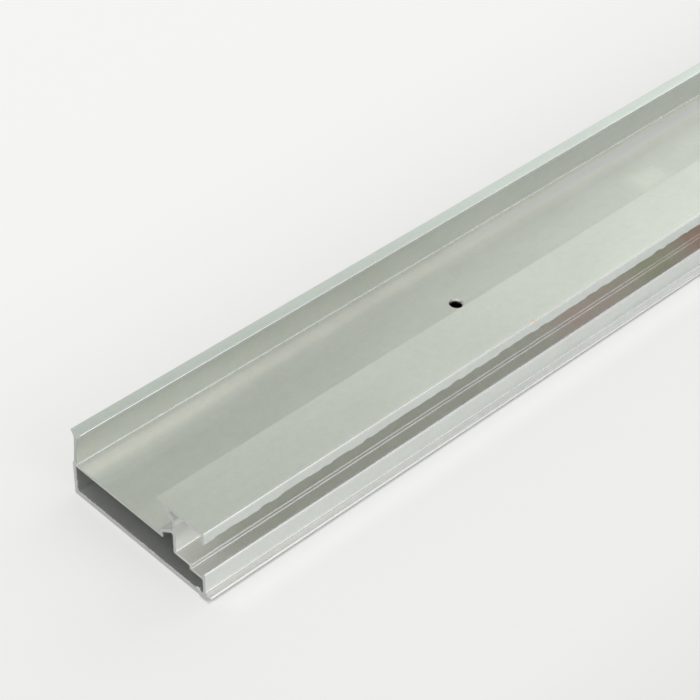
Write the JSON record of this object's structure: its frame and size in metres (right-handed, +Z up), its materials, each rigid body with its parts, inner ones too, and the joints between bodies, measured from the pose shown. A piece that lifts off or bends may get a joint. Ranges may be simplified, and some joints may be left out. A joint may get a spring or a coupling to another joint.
{
  "type": "aluminium extrusion profile",
  "caption": "Hollow aluminium extrusion with an open channel between a flared fin and a hooked fin, an overhanging flange with a turned-down lip, stepped ledges, a base lip and screw holes.",
  "frame": {"origin": "middle of the bounding box on the flat underside", "axes": "+Y along the stock, +Z up out of the channel, +X from the flared fin towards the base lip"},
  "size_m": [0.07, 1, 0.03],
  "materials": {
    "aluminium": "satin"
  },
  "bodies": {
    "root": {"profile": "aluminium"}
  },
  "joints": []
}
